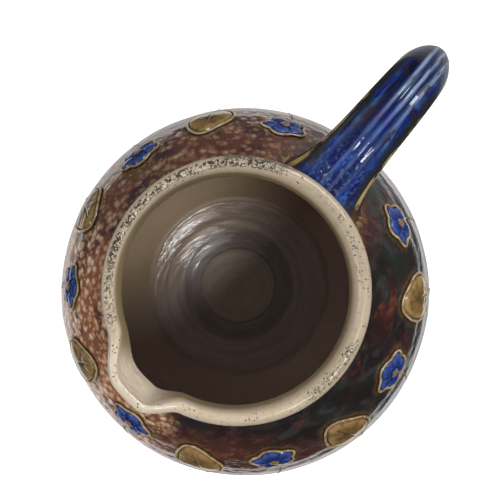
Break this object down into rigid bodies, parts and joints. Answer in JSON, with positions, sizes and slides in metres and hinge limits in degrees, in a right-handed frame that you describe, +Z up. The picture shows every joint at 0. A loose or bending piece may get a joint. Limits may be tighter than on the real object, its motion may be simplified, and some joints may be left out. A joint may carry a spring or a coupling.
{
  "type": "salt-glazed jug",
  "caption": "Thrown stoneware jug with a round belly, short neck, pulled lip, arched ribbed handle and a band of applied leaves and flowers with trailed slip.",
  "frame": {"origin": "centre of the flat base's resting plane, on the axis that the jug was thrown about", "axes": "+Z up along the throwing axis, +X towards the handle, the lip towards -X"},
  "size_m": [0.188, 0.14, 0.1663],
  "materials": {
    "body_glaze": "mottled brown and dark salt glaze on stoneware, glossy with an orange-peel skin",
    "handle_glaze": "glossy cobalt glaze, ochre along the edges",
    "leaf_glaze": "glossy ochre glaze over applied clay",
    "flower_glaze": "glossy cobalt glaze over applied clay",
    "slip_clay": "cream trailed slip under clear salt glaze"
  },
  "bodies": {
    "root": {"thrown_body": "body_glaze", "pulled_handle": "handle_glaze", "flower_1": "flower_glaze", "flower_1_slip": "slip_clay", "leaf_1": "leaf_glaze", "leaf_1_slip": "slip_clay", "flower_2": "flower_glaze", "flower_2_slip": "slip_clay", "leaf_2": "leaf_glaze", "leaf_2_slip": "slip_clay", "flower_3": "flower_glaze", "flower_3_slip": "slip_clay", "leaf_3": "leaf_glaze", "leaf_3_slip": "slip_clay", "flower_4": "flower_glaze", "flower_4_slip": "slip_clay", "leaf_4": "leaf_glaze", "leaf_4_slip": "slip_clay", "flower_5": "flower_glaze", "flower_5_slip": "slip_clay", "leaf_5": "leaf_glaze", "leaf_5_slip": "slip_clay", "flower_6": "flower_glaze", "flower_6_slip": "slip_clay", "leaf_6": "leaf_glaze", "leaf_6_slip": "slip_clay", "flower_7": "flower_glaze", "flower_7_slip": "slip_clay"}
  },
  "joints": []
}
